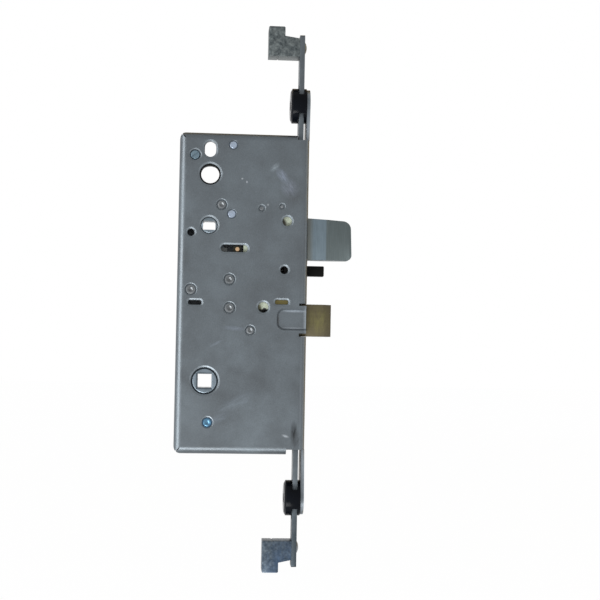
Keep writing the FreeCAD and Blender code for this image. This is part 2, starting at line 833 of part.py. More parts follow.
def lever_follower():
    face = near_face + 0.3
    journal = round_y(follower, follower_journal, face + journal_edge, cover_far - 0.2)
    bevel = cone_y(follower, follower_journal - journal_edge, follower_journal, face, face + journal_edge)
    body = round_y(follower, follower_body, carrier_layer[0], reverse_layer[1])
    pin = polar(follower, follower_arm, follower_start)
    arm = link(follower, follower_body, pin, cam_pin + 1.2, *reverse_layer)
    hole = round_y(pin, cam_pin, reverse_layer[0] - 1, reverse_layer[1] + 1)
    bore = square_hole(follower, follower_square, 0.01, near_face - 1, cover_far + 1)
    mouth = square_mouth()
    return fused([journal, bevel, body, arm]).cut([bore, mouth, hole])


def square_mouth():
    """Pyramid that chamfers the square's mouth on the pan side."""
    half = follower_square / 2 + square_chamfer
    x, z = follower
    face = near_face + 0.3
    base = Part.makePolygon([V(x + a, face, z + b) for a, b in
                             [(half, half), (-half, half), (-half, -half), (half, -half), (half, half)]])
    low = half - square_chamfer
    tip = Part.makePolygon([V(x + a, face + square_chamfer, z + b) for a, b in
                            [(low, low), (-low, low), (-low, -low), (low, -low), (low, low)]])
    return Part.makeLoft([base, tip], True, True)


follower_pin_place = polar(follower, follower_arm, follower_start)
save("lever_follower", lever_follower())
save("follower_pin", round_y(follower_pin_place, cam_pin, reverse_layer[0], slide_layer[1]))


# Reversing lever: turns the lift of the bottom rod into the drop of the top rod

reverse_low_end = polar(pivot, reverse_arm, 180 + reverse_swing)
reverse_high_end = polar(pivot, reverse_arm, reverse_swing)


def reversing_lever():
    arms = [link(pivot, lever_hub, end, lever_end, *reverse_layer) for end in (reverse_low_end, reverse_high_end)]
    cuts = [round_y(pivot, pillar_shank + running, inner_near, cover_near)]
    for end in (reverse_low_end, reverse_high_end):
        cuts.append(round_y(end, lever_pin, inner_near, cover_near))
    return fused(arms).cut(cuts)


save("reversing_lever", reversing_lever())
reverse_ends = [reverse_low_end, reverse_high_end]
reverse_span = (reverse_layer[0], slide_layer[1])
save("reversing_lever_pins", Part.Compound([round_y(end, lever_pin, *reverse_span) for end in reverse_ends]))


# Latch lever: its long arm draws the latch back, its short arm follows the bottom slide's cam slot

latch_pin_place = polar(pivot, latch_arm_height, 90 - latch_swing)
cam_pin_place = polar(pivot, cam_arm, -90 - latch_swing)


def latch_lever():
    arms = [
        link(pivot, lever_hub, latch_pin_place, lever_pin + 1.5, *latch_lever_layer),
        link(pivot, lever_hub, cam_pin_place, cam_pin + 1.2, *latch_lever_layer),
    ]
    cuts = [
        round_y(pivot, pillar_shank + running, inner_near, cover_near),
        round_y(latch_pin_place, lever_pin, inner_near, cover_near),
        round_y(cam_pin_place, cam_pin, inner_near, cover_near),
    ]
    return fused(arms).cut(cuts)


save("latch_lever", latch_lever())
save("latch_lever_pins", Part.Compound([
    round_y(latch_pin_place, lever_pin, arm_layer[0], latch_lever_layer[1]),
    round_y(cam_pin_place, cam_pin, latch_lever_layer[0], slide_layer[1]),
]))


# Bottom drive slide: lifted by the follower, it carries the cam slot and the bottom strip's flange


def pillar_slot(place, drop):
    """Upright slot in a slide that lets a fixed pillar pass while the slide rises."""
    half = pillar_shank + slide_gap
    return upright_slot(place[0], place[1] - drop - half, place[1] + half, half, *slide_cut)


slide_cut = (slide_layer[0] - 1, slide_layer[1] + 1)


def cam_slot():
    """Path of the latch lever's pin, seen from the rising slide."""
    places = []
    steps = 4
    for step in range(steps + 1):
        share = step / steps
        x, z = polar(pivot, cam_arm, -90 - latch_swing + 2 * latch_swing * share)
        places.append((x, z - rod_travel * share))
    half = cam_pin + cam_slack
    return fused([link(a, half, b, half, *slide_cut) for a, b in zip(places, places[1:])])


def strip_flange(z0, z1):
    """Bent flange that meets the back of a strip."""
    return box(strip_back - flange_thick, strip_back, flange_near, slide_layer[1], z0, z1)


def bottom_drive_slide():
    bottom_slide_left = guide_post[0] - pillar_shank - slide_gap - slide_wall
    plate = prism_y([
        (bottom_slide_left, bottom_slide_top), (bottom_slide_right, bottom_slide_top),
        (bottom_slide_right, bottom_slide_step), (bottom_slide_wide, bottom_slide_step),
        (bottom_slide_wide, foot_high), (strip_back, foot_high), (strip_back, foot_low),
        (bottom_slide_left, foot_low),
    ], *slide_layer)
    seat = box(return_spring_x - seat_half, return_spring_x + seat_half, slide_layer[0] - 2.3, slide_layer[1],
               bottom_slide_top - seat_thick, bottom_slide_top)
    pin_x, pin_z = follower_pin_place
    bulge = follower_arm * (1 - math.cos(math.radians(follower_start)))
    half = cam_pin + slide_gap
    end_x, end_z = reverse_low_end
    end_bulge = reverse_arm * (1 - math.cos(math.radians(reverse_swing)))
    end_half = lever_pin + slide_gap
    cuts = [
        pillar_slot(guide_post, rod_travel),
        pillar_slot(pivot, rod_travel),
        cam_slot(),
        level_slot(pin_x - half - 0.1, pin_x + bulge + half + 0.1, pin_z, half, *slide_cut),
        level_slot(end_x - end_bulge - end_half - 0.1, end_x + end_half + 0.1, end_z, end_half, *slide_cut),
    ]
    flange = strip_flange(foot_low, foot_high).cut(slide_rivet_holes(bottom_slide_rivets))
    return fused([plate.cut(cuts), seat, flange])


def slide_rivet_holes(heights):
    return [round_x(0, z, slide_rivet_radius, strip_back - 5, 0) for z in heights]


bottom_slide_rivets = [foot_low + 4.5, foot_high - 4.5]
top_slide_rivets = [top_arm_low + 2.6, top_arm_high - 2.6]
save("bottom_drive_slide", bottom_drive_slide())


# Top drive slide: pulled down by the reversing lever


def top_drive_slide():
    plate = prism_y([
        (top_slide_left, top_slide_low), (top_slide_right, top_slide_low), (top_slide_right, top_arm_low),
        (strip_back, top_arm_low), (strip_back, top_arm_high), (top_slide_left, top_arm_high),
    ], *slide_layer)
    x, z = reverse_high_end
    bulge = reverse_arm * (1 - math.cos(math.radians(reverse_swing)))
    half = lever_pin + slide_gap
    slot = level_slot(x - half - 0.1, x + bulge + half + 0.1, z, half, *slide_cut)
    flange = strip_flange(top_arm_low, top_arm_high).cut(slide_rivet_holes(top_slide_rivets))
    return fused([plate.cut(slot), flange])


save("top_drive_slide", top_drive_slide())


# Thumbturn hub: slotted, with an arm and pin that draw the deadbolt's tail


def thumbturn_hub():
    near = near_face + 0.5
    collar = 1.2
    parts = [
        cone_y(hub, hub_face, hub_opening - running, near, near + collar),
        round_y(hub, hub_opening - running, near + collar, arm_layer[1]),
        round_y(hub, hub_flange, *arm_layer),
        round_y(hub, hub_rear, arm_layer[1], cover_far - 0.2),
        link(hub, hub_arm_root, hub_pin_place, hub_pin + 1.5, *arm_layer),
    ]
    wide, tall = hub_slot
    x, z = hub
    slot = box(x - wide / 2, x + wide / 2, near - 1, cover_far, z - tall / 2, z + tall / 2)
    rear = round_y(hub, hub_rear_bore, near + hub_slot_depth, cover_far + 1)
    hole = round_y(hub_pin_place, hub_pin, arm_layer[0] - 1, arm_layer[1] + 1)
    return fused(parts).cut([slot, rear, hole])


save("thumbturn_hub", thumbturn_hub())
save("hub_pin", round_y(hub_pin_place, hub_pin, tail_layer[0], arm_layer[1]))


def hub_detent_spring():
    """Leaf that lies on the hub and is wrapped round a pillar."""
    x, z, radius = upper_posts[2]
    inner = radius + post_shoulder
    thick = detent_thick
    ring = round_y((x, z), inner + thick, *detent_span)
    tip = (hub[0] - detent_reach, hub[1] + hub_rear + side_gap + thick / 2)
    leaf = link((x, z - inner - thick / 2), thick / 2, tip, thick / 2 - 0.001, *detent_span)
    return fused([ring, leaf]).cut(round_y((x, z), inner, *detent_span))


save("hub_detent_spring", hub_detent_spring())


# Rod strips: flat bars behind the forend, slotted round the inserts


def rod_strip(z0, z1, up, rivets):
    strip = box(strip_back, strip_front, -strip_width / 2, strip_width / 2, z0, z1)
    outer_z = z1 if up > 0 else z0
    middle_x = (strip_front + strip_back) / 2
    corners = [e for e in strip.Edges
               if abs(e.CenterOfMass.z - outer_z) < 0.001 and abs(e.CenterOfMass.x - middle_x) < 0.001]
    strip = strip.makeFillet(strip_corner, corners)
    half = insert_shank + 0.4
    centre = up * insert_z
    start = V(strip_back - 1, 0, centre - up * 0.5)
    end = V(strip_back - 1, 0, centre + up * (rod_travel + 0.1))
    low, high = min(start.z, end.z), max(start.z, end.z)
    slot = [
        round_x(0, low, half, strip_back - 1, strip_front + 1),
        round_x(0, high, half, strip_back - 1, strip_front + 1),
        box(strip_back - 1, strip_front + 1, -half, half, low, high),
    ]
    holes = slide_rivet_holes(rivets[:-1])
    holes.append(round_x(0, rivets[-1], block_rivet_shank, strip_back - 1, strip_front + 1))
    return strip.cut([fused(slot)] + holes)


top_rivet_z = top_block["foot"] + top_rivet_up
bottom_rivet_z = bottom_block["foot"] + bottom_rivet_up
top_strip_end = top_block["foot"] + top_strip_over
bottom_strip_end = -bottom_block["foot"] - bottom_strip_over
save("top_rod_strip", rod_strip(top_strip_start, top_strip_end, 1, top_slide_rivets + [top_rivet_z]))
save("bottom_rod_strip", rod_strip(bottom_strip_end, bottom_strip_start, -1,
                                   bottom_slide_rivets + [-bottom_rivet_z]))


def slide_rivet(z):
    shank = round_x(0, z, slide_rivet_radius, strip_back - flange_thick, strip_front)
    head = round_x(0, z, slide_rivet_radius + 0.9, strip_back - flange_thick - 0.8, strip_back - flange_thick)
    return fused([shank, head])


save("top_slide_rivets", Part.Compound([slide_rivet(z) for z in top_slide_rivets]))
save("bottom_slide_rivets", Part.Compound([slide_rivet(z) for z in bottom_slide_rivets]))


# Rod blocks: cast ends riveted to the strips, which enter the frame's keeps


def rod_block(sizes, rivet_z):
    rear = strip_back - sizes["depth"]
    ledge = rear + sizes["tall"]
    half = strip_width / 2
    foot = sizes["foot"]
    tip = foot + sizes["height"]
    block = prism_y([
        (strip_back, foot), (strip_back, foot + sizes["lip"]), (ledge, foot + sizes["step"]),
        (ledge, tip), (rear, tip), (rear, foot),
    ], -half, half)
    tall_edges = [e for e in block.Edges
                  if abs(e.CenterOfMass.y) < 0.001 and e.CenterOfMass.z > tip - 0.001]
    block = block.makeFillet(block_edge, tall_edges)
    groove = box(rear + block_groove, rear + block_groove + 0.5, -half - 1, half + 1, foot - 1, foot + 0.4)
    hole = round_x(0, rivet_z, block_rivet_shank, strip_back - 7, strip_back + 1)
    return block.cut([groove, hole])


def block_rivet(rivet_z):
    """Domed rivet through the strip into the block."""
    shank = round_x(0, rivet_z, block_rivet_shank, strip_back - 7, strip_front)
    ball = (block_rivet_radius ** 2 + block_rivet_head ** 2) / 2 / block_rivet_head
    top = strip_front + block_rivet_head
    cap = round_x(0, rivet_z, block_rivet_radius + 1, strip_front, top + 1)
    dome = Part.makeSphere(ball, V(top - ball, 0, rivet_z)).common(cap)
    dimple = Part.makeSphere(block_rivet_dimple, V(top, 0, rivet_z))
    return fused([shank, dome]).cut(dimple)


save("top_rod_block", rod_block(top_block, top_rivet_z))
save("bottom_rod_block", mirrored_low(rod_block(bottom_block, bottom_rivet_z)))
save("top_block_rivet", block_rivet(top_rivet_z))
save("bottom_block_rivet", mirrored_low(block_rivet(bottom_rivet_z)))


# Guide discs behind the tongues, channelled for the strips, and the threaded inserts through them


def guide_disc():
    back = -sheet - disc_depth
    body = round_x(0, insert_z, disc_radius, back, -sheet)
    dome = Part.makeCone(disc_radius, disc_dome_radius, disc_dome, V(back, 0, insert_z), V(-1, 0, 0))
    channel_wide = strip_width / 2 + 3.1
    channel = box(strip_back - 2 * seat_gap, strip_front + seat_gap, -channel_wide, channel_wide,
                  insert_z - 2 * disc_radius, insert_z + 2 * disc_radius)
    bore = round_x(0, insert_z, insert_shank, back - 2 * disc_dome, 0)
    return fused([body, dome]).cut([channel, bore])


def threaded_insert():
    back = -sheet - disc_depth - disc_dome / 2
    flange = round_x(0, insert_z, insert_flange, -sheet, 0)
    shank = round_x(0, insert_z, insert_shank, back, -sheet)
    return fused([flange, shank]).cut(round_x(0, insert_z, insert_bore, back - 1, 1))


save("upper_guide_disc", guide_disc())
save("lower_guide_disc", mirrored_low(guide_disc()))
save("upper_threaded_insert", threaded_insert())
save("lower_threaded_insert", mirrored_low(threaded_insert()))

print("latch lever turn", 2 * latch_swing, "reversing lever turn", 2 * reverse_swing)
print("follower start", follower_start, "hub turn", 2 * hub_swing)
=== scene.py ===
import json
import math
import bpy
from mathutils import Matrix, Vector

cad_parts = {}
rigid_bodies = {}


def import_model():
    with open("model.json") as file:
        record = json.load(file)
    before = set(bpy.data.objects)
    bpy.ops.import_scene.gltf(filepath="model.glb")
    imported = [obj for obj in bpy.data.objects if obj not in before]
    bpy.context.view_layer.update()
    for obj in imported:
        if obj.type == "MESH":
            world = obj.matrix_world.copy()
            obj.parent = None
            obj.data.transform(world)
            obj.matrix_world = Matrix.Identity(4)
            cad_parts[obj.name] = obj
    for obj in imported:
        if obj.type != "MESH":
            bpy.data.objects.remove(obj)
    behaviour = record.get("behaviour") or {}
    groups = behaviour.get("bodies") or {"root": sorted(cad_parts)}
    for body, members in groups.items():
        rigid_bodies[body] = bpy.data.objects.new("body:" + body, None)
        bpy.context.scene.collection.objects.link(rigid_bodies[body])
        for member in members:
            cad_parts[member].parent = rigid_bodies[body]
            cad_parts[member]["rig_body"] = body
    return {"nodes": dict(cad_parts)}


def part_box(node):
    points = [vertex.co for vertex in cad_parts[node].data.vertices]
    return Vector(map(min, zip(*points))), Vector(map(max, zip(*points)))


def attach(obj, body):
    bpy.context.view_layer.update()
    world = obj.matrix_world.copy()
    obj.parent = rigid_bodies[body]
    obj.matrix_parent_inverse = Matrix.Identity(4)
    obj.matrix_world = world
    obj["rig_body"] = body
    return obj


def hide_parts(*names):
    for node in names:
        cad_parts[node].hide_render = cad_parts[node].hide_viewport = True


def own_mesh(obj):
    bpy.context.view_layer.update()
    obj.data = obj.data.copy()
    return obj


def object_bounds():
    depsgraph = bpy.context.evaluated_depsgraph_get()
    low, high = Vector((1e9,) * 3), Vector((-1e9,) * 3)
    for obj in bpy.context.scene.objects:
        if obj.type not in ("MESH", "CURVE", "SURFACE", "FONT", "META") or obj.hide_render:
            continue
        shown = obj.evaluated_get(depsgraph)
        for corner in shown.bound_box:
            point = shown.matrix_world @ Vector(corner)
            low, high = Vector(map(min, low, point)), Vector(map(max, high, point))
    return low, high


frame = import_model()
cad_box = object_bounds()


# Case pan: one galvanised steel sheet, blanked and pierced, pressed in beside the deadbolt
# and bent up on four sides. It keeps its mill finish, with a fine grain, clouds of zinc,
# a dished rim round each hole, and the rub marks of the press and of handling. Its rims,
# the pocket's edges, the forend and its bend also carry painted highlight and painted shade.
MM = 0.001


def linear(colour):
    """Scene colour of an sRGB colour given from 0 to 255, by the sRGB curve."""
    return tuple(((c / 255 + 0.055) / 1.055) ** 2.4 for c in colour) + (1.0,)


def feed(tree, socket, source):
    """Gives an input its value, or links it to the output that feeds it."""
    if isinstance(source, bpy.types.NodeSocket):
        tree.links.new(source, socket)
    else:
        socket.default_value = source


def add(tree, kind, **words):
    """Adds a node. Each word is one of its settings or, with _ for a space, one of its inputs."""
    node = tree.nodes.new("ShaderNode" + kind)
    for word, given in words.items():
        if hasattr(node, word):
            setattr(node, word, given)
        else:
            feed(tree, node.inputs[word.replace("_", " ")], given)
    return node


def maths(tree, operation, first, second, clamp=False):
    """The result of a Math node."""
    node = add(tree, "Math", operation=operation, use_clamp=clamp)
    feed(tree, node.inputs[0], first)
    feed(tree, node.inputs[1], second)
    return node.outputs["Value"]


def vectors(tree, operation, first, second=(0, 0, 0)):
    """The result of a Vector Math node: a number for LENGTH, and a vector for the rest."""
    node = add(tree, "VectorMath", operation=operation)
    feed(tree, node.inputs[0], first)
    feed(tree, node.inputs[1], second)
    return node.outputs["Value" if operation == "LENGTH" else "Vector"]


def spread(tree, value, low, high, start=0.0, end=1.0):
    """Stretches low to high over start to end, and stops at both."""
    node = add(tree, "MapRange", Value=value, From_Min=low, From_Max=high, To_Min=start, To_Max=end)
    return node.outputs["Result"]


def mix(tree, factor, first, second, blend="MIX"):
    """Two colours mixed, each of them a value or an output."""
    node = add(tree, "Mix", data_type="RGBA", blend_type=blend, Factor=factor)
    first_colour, second_colour = node.inputs[6:8]
    feed(tree, first_colour, first)
    feed(tree, second_colour, second)
    mixed_colour = node.outputs[2]
    return mixed_colour


def mark(middle, reach, colour, strength, torn=0.0, turn=0):
    """A worn or stained place, or a place of painted light or shade: its middle and reach in mm, and its
    turn in degrees about Y.
    """
    return middle, reach, colour, strength, torn, turn


def covered(tree, place, middle, reach, strength, torn, turn):
    """How far a mark covers the finish: most in its middle, and torn into fibres round that."""
    spot = add(tree, "Mapping", vector_type="TEXTURE", Vector=place, Location=[m * MM for m in middle],
               Rotation=(0, math.radians(turn), 0), Scale=[r * MM for r in reach]).outputs["Vector"]
    bare_below, full_above = 0.4, 0.62
    ball = add(tree, "TexGradient", gradient_type="SPHERICAL", Vector=spot).outputs["Fac"]
    fibres = add(tree, "Mapping", Vector=spot, Scale=(3.5, 1, 0.9)).outputs["Vector"]
    ragged = add(tree, "TexNoise", Vector=fibres, Scale=1.6, Detail=7.0, Roughness=0.7).outputs["Fac"]
    patchy = spread(tree, ragged, bare_below, full_above, 1 - torn, 1.0)
    covering = maths(tree, "MULTIPLY", ball, patchy)
    return maths(tree, "MULTIPLY", covering, strength, clamp=True)


def finish(name, colour, clouded, metallic=0.85, roughness=0.42, grain=(60, 60, 900), depth=0.10,
           cloud_size=70, marks=()):
    """A finish with a drawn grain, clouds between two colours, and marks over them: wear and stains, and
    some painted light and shade.
    """
    thin, thick = 0.3, 0.7
    glossier, duller = 0.06, 0.08
    material = bpy.data.materials.new(name)
    material.use_nodes = True
    tree = material.node_tree
    shader = tree.nodes["Principled BSDF"]
    shader.inputs["Metallic"].default_value = metallic
    place = add(tree, "TexCoord").outputs["Object"]
    drawn = add(tree, "Mapping", Vector=place, Scale=grain).outputs["Vector"]
    grained = add(tree, "TexNoise", Vector=drawn, Scale=1.0, Detail=5.0, Roughness=0.65).outputs["Fac"]
    cloud = add(tree, "TexNoise", Vector=place, Scale=cloud_size, Detail=6.0, Roughness=0.62).outputs["Fac"]
    painted = mix(tree, spread(tree, cloud, thin, thick), linear(colour), linear(clouded))
    for middle, reach, marked_colour, strength, torn, turn in marks:
        share = covered(tree, place, middle, reach, strength, torn, turn)
        painted = mix(tree, share, painted, linear(marked_colour))
    streaks = spread(tree, grained, thin, thick, 1 - depth, 1 + depth)
    feed(tree, shader.inputs["Base Color"], mix(tree, 1.0, painted, streaks, "MULTIPLY"))
    gloss = spread(tree, cloud, thin, thick, roughness - glossier, roughness + duller)
    feed(tree, shader.inputs["Roughness"], gloss)
    relief = add(tree, "Bump", Height=grained, Strength=0.05, Distance=0.2 * MM)
    relief.name = "grain_relief"
    feed(tree, shader.inputs["Normal"], relief.outputs["Normal"])
    return material


def opening(x, z, radius, half_wide=0, half_high=0):
    """A round place on the pan's face, or one stretched by half its straight sides, in mm."""
    return x, z, radius, half_wide, half_high


def sloped(material, places, width, depth, start=0.0, crown=False, tone=1.0):
    """Slopes the surface outside the edge of each place or, for a crown, inside it.
    Within the slope the colour is multiplied by tone."""
    tree = material.node_tree
    where = add(tree, "TexCoord").outputs["Object"]
    flat = vectors(tree, "MULTIPLY", where, (1, 0, 1))
    height = None
    for x, z, radius, half_wide, half_high in places:
        aside = vectors(tree, "ABSOLUTE", vectors(tree, "SUBTRACT", flat, (x * MM, 0, z * MM)))
        outside = vectors(tree, "SUBTRACT", aside, (half_wide * MM, 0, half_high * MM))
        distance = vectors(tree, "LENGTH", vectors(tree, "MAXIMUM", outside))
        inner = radius - width if crown else radius + start
        ramp = spread(tree, distance, inner * MM, (inner + width) * MM)
        height = ramp if height is None else maths(tree, "MINIMUM", height, ramp)
    slope = add(tree, "Bump", invert=crown, Height=height, Distance=depth * MM)
    under = tree.nodes["grain_relief"].inputs["Normal"]
    if under.is_linked:
        feed(tree, slope.inputs["Normal"], under.links[0].from_socket)
    feed(tree, under, slope.outputs["Normal"])
    base = tree.nodes["Principled BSDF"].inputs["Base Color"]
    plain = base.links[0].from_socket
    feed(tree, base, mix(tree, 1.0, plain, spread(tree, height, 0, 1, tone, 1.0), "MULTIPLY"))


def dress(material, *nodes):
    """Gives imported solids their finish."""
    for node in nodes:
        mesh = frame["nodes"][node].data
        mesh.materials.clear()
        mesh.materials.append(material)


# Openings of the pan, and the posts and rivets spun over it, in mm along the frame's x and z
backset = 60.0
hub_x = 0.9 - backset
hub_z = 43.3
follower_z = -48.9
lined_hole = opening(hub_x, 73.9, 6.25)
hub_hole = opening(hub_x, hub_z, 5.0)
follower_hole = opening(-backset, follower_z, 7.9)
sight_holes = [opening(-12.7, 46.8, 2.8), opening(hub_x - 10.7, 38.9, 2.1),
               opening(-14.0, 17.6, 2.3), opening(-26.1, -4.8, 3.1)]
slots = [opening(hub_x - 0.2, 88.9, 3.45, half_high=1.25), opening(-43.9, 29.9, 2.1, half_wide=5.9),
         opening(-6.65 - backset, -2.65, 1.0, 2.9, 0.3), opening(-15.2, -1.55, 1.0, 2.9, 0.3)]
cover_screw_x = -8.2 - backset
cover_screw_z = 85.3
bolt_pocket = opening(-3.0, -11.7, 3.2, 10.6, 2.1)
riveted = {    # x, z, radius where the rim's slope starts, radius of the spun end
    "upper_post": (-51.9, 55.8, 2.5, 2.7),
    "pivot": (-33.7, -18.6, 2.3, 2.5),
    "guide_post": (13.8 - backset, -5.5, 2.8, 3.0),
    "lower_post": (2.1 - backset, -73.3, 2.6, 2.75),
    "trigger_stud": (-46.5, 11.4, 2.8, 3.0),
    "rest_stud": (-9.3 - backset, 5.0, 2.8, 3.0),
    "left_guide_rivet": (-28.1, 54.2, 1.4, 1.5),
    "right_guide_rivet": (-15.9, 55.6, 1.1, 1.2),
}
rivet_rims = [opening(x, z, rim) for x, z, rim, end in riveted.values()]

# Marks of the pan. One with a far reach hardly fades along that axis.
face_y = -9.1
skin = 5
far = 400
corner_far = 500


def face_mark(x, z, half_wide, half_high, colour, strength, torn, turn=0):
    """A mark on the pan's outer face."""
    return mark((x, face_y, z), (half_wide, skin, half_high), colour, strength, torn, turn)


upper_rubs = [face_mark(-16.0, 74.0, 3.2, 6.0, (132, 141, 158), 0.9, 0.9, turn=-38),
              face_mark(-20.6, 79.0, 2.0, 4.0, (135, 145, 152), 0.9, 0.8, turn=45),
              face_mark(-11.5, 66.5, 6.0, 7.0, (116, 122, 134), 1.0, 0.9, turn=-38),
              face_mark(-8.6, 61.0, 6.5, 6.5, (76, 79, 82), 0.9, 0.7)]
foot_smudges = [face_mark(-6.6, -79.0, 2.6, 8.0, (40, 42, 44), 1.6, 0.6),
                face_mark(-5.4, -84.5, 3.4, 7.0, (62, 65, 68), 1.2, 0.8, turn=12),
                face_mark(-11.6, -80.8, 2.6, 1.0, (160, 166, 172), 1.1, 0.6, turn=18)]
bright_nicks = [face_mark(-40.0, 71.6, 0.8, 0.7, (150, 156, 160), 1.2, 0.2),
                face_mark(-37.2, 69.7, 0.7, 0.9, (150, 155, 162), 1.2, 0.2),
                face_mark(-24.4, 56.4, 0.8, 0.8, (140, 145, 150), 1.1, 0.2)]
lower_rubs = [face_mark(-43.0, -17.6, 7.5, 1.6, (112, 120, 132), 0.8, 0.7, turn=4),
              face_mark(-53.4, -26.6, 5.0, 1.0, (112, 120, 130), 0.8, 0.7, turn=-28),
              face_mark(-42.0, -62.0, 4.0, 15.0, (108, 117, 125), 0.8, 0.9, turn=62),
              face_mark(-52.0, -71.0, 3.0, 9.0, (106, 115, 124), 0.8, 0.9, turn=70)]
# Painted light on the pressed pocket beside the deadbolt: a painted highlight along its top and bottom
# edges, and painted shade at its left end.
pocket_painted_light = [face_mark(-7.5, -6.7, 9.5, 1.0, (128, 136, 144), 1.5, 0.3),
                face_mark(-17.0, -12.6, 0.8, 4.6, (80, 80, 80), 1.0, 0.2),
                face_mark(-8.0, -17.0, 10.0, 0.8, (122, 128, 134), 1.5, 0.2)]
# The lower part of the forend's face is painted lighter, a painted pool of light from below; the two torn
# marks are pinkish smudges.
forend_light_and_smudges = [mark((0.3, 1.5, -95), (1.6, 14, 110), (126, 134, 142), 1.8, 0.1),
               mark((0.3, -1.0, 85), (1.2, 4.5, 40), (78, 70, 70), 1.0, 0.8),
               mark((0.3, -2.5, -70), (1.2, 3.5, 45), (112, 106, 108), 1.0, 0.9)]
# Painted shade, dark brown, on the inner side of the forend.
forend_back_painted_shade = [mark((-2.3, 3.5, 0), (0.9, 11, far), (70, 62, 46), 2.0)]
# On the bend to the forend: a pale painted highlight along it, and a brownish painted shade beside it.
forend_corner_painted_light = [mark((-0.6, -7.6, 0), (1.7, 2.2, corner_far), (120, 127, 133), 1.4, 0.1),
                 mark((0.1, -6.2, 0), (1.1, 1.7, corner_far), (110, 102, 88), 1.1, 0.2)]
pan_steel = finish("pan_steel", (83, 88, 92), (91, 98, 103), roughness=0.40, grain=(1800, 900, 1500),
                   depth=0.14, cloud_size=45,
                   marks=upper_rubs + foot_smudges + bright_nicks + lower_rubs + pocket_painted_light
                   + forend_light_and_smudges + forend_back_painted_shade + forend_corner_painted_light)
# Each rim round a hole, slot or rivet is dished and painted up to 1.3 times lighter, a painted highlight,
# and the rim round each rivet has a narrow ring painted brighter still.
sloped(pan_steel, [lined_hole, hub_hole, follower_hole] + sight_holes + slots + rivet_rims
       + [opening(cover_screw_x, cover_screw_z, 2.8)], width=0.9, depth=0.34, start=0.3, tone=1.3)
sloped(pan_steel, rivet_rims, width=0.3, depth=0.01, tone=2.6)
sloped(pan_steel, [bolt_pocket], width=0.6, depth=0.12, start=-0.1)
dress(pan_steel, "case_pan")

# Posts, studs and small rivets: turned steel, zinc plated, each pushed through the pan and
# spun flat over it. The post below the follower is blue passivated.
bluish_posts = [(-45.6, 91.8), (-45.8, 50.5)]
rivet_steel = finish("rivet_steel", (112, 117, 120), (136, 140, 143), roughness=0.36,
                     grain=(900, 900, 900), depth=0.06, cloud_size=300,
                     marks=[mark((x, face_y, z), (6, skin, 6), (140, 152, 168), 1.5, 0.5)
                            for x, z in bluish_posts])
spun_ends = {name: opening(x, z, end) for name, (x, z, rim, end) in riveted.items()}
blue_end = spun_ends.pop("lower_post")
sloped(rivet_steel, spun_ends.values(), width=1.2, depth=0.2, crown=True, tone=0.48)
dress(rivet_steel, "upper_pillars", "pivot_pillar", "guide_pillar", "trigger_guide_stud", "tail_rest_stud",
      "guide_rivets")
blue_rivet = finish("blue_rivet", (58, 92, 120), (82, 118, 140), roughness=0.3, grain=(900, 900, 900),
                    depth=0.06, cloud_size=300)
sloped(blue_rivet, [blue_end], width=0.8, depth=0.3, crown=True)
dress(blue_rivet, "lower_pillar")

# Threaded inserts: turned brass, one pressed into each tongue of the forend. They take the
# screws that hold the lock in its door.
insert_brass = finish("insert_brass", (150, 128, 80), (168, 146, 98), grain=(900, 200, 200))
dress(insert_brass, "upper_threaded_insert", "lower_threaded_insert")


# Liner of the large round hole: black nylon, moulded and pressed into the pan, with a faint
# grain from the tool. The trigger's button and the rods' guide discs are nylon too.
def nylon(name, colour, deeper, roughness, specular, grain=1400, bump=0.15):
    """Moulded nylon, with the fine relief of its tool."""
    gloss_change = 0.08
    material = bpy.data.materials.new(name)
    material.use_nodes = True
    tree = material.node_tree
    shader = tree.nodes["Principled BSDF"]
    shader.inputs["Specular IOR Level"].default_value = specular
    place = add(tree, "TexCoord").outputs["Object"]
    fine = add(tree, "TexNoise", Vector=place, Scale=grain, Detail=3.0).outputs["Fac"]
    cloud = add(tree, "TexNoise", Vector=place, Scale=120.0, Detail=4.0).outputs["Fac"]
    feed(tree, shader.inputs["Base Color"], mix(tree, cloud, linear(colour), linear(deeper)))
    gloss = spread(tree, fine, 0, 1, roughness - gloss_change, roughness + gloss_change)
    feed(tree, shader.inputs["Roughness"], gloss)
    relief = add(tree, "Bump", Height=fine, Strength=bump, Distance=0.1 * MM)
    feed(tree, shader.inputs["Normal"], relief.outputs["Normal"])
    return material


nylon_black = nylon("nylon_black", (8, 8, 7), (15, 15, 14), roughness=0.6, specular=0.06)
dress(nylon_black, "escutcheon_bush")

# Lever follower and thumbturn hub: sintered steel, zinc plated, turning in the pan and the
# cover. Each has an arm with a riveted pin that moves the slides or the deadbolt's tail, and
# a leaf of spring steel holds the hub.
hub_steel = finish("hub_steel", (86, 95, 101), (100, 110, 118), roughness=0.32, grain=(700, 700, 700),
                   depth=0.06, cloud_size=200)
sloped(hub_steel, [opening(hub_x, hub_z, 4.65), opening(-backset, follower_z, 7.4)],
       width=0.7, depth=0.25, crown=True, tone=1.25)
dress(hub_steel, "lever_follower", "thumbturn_hub")
dress(rivet_steel, "follower_pin", "hub_pin")
spring_steel = finish("spring_steel", (110, 110, 112), (130, 130, 132), grain=(800, 800, 800))
dress(spring_steel, "hub_detent_spring")


# Latch: a zinc casting, satin finished along its height, with its edges broken by tumbling.
# It slides in a guide of cream nylon, pushed out by a coil of steel wire in its bore.
weld = 0.001 * MM


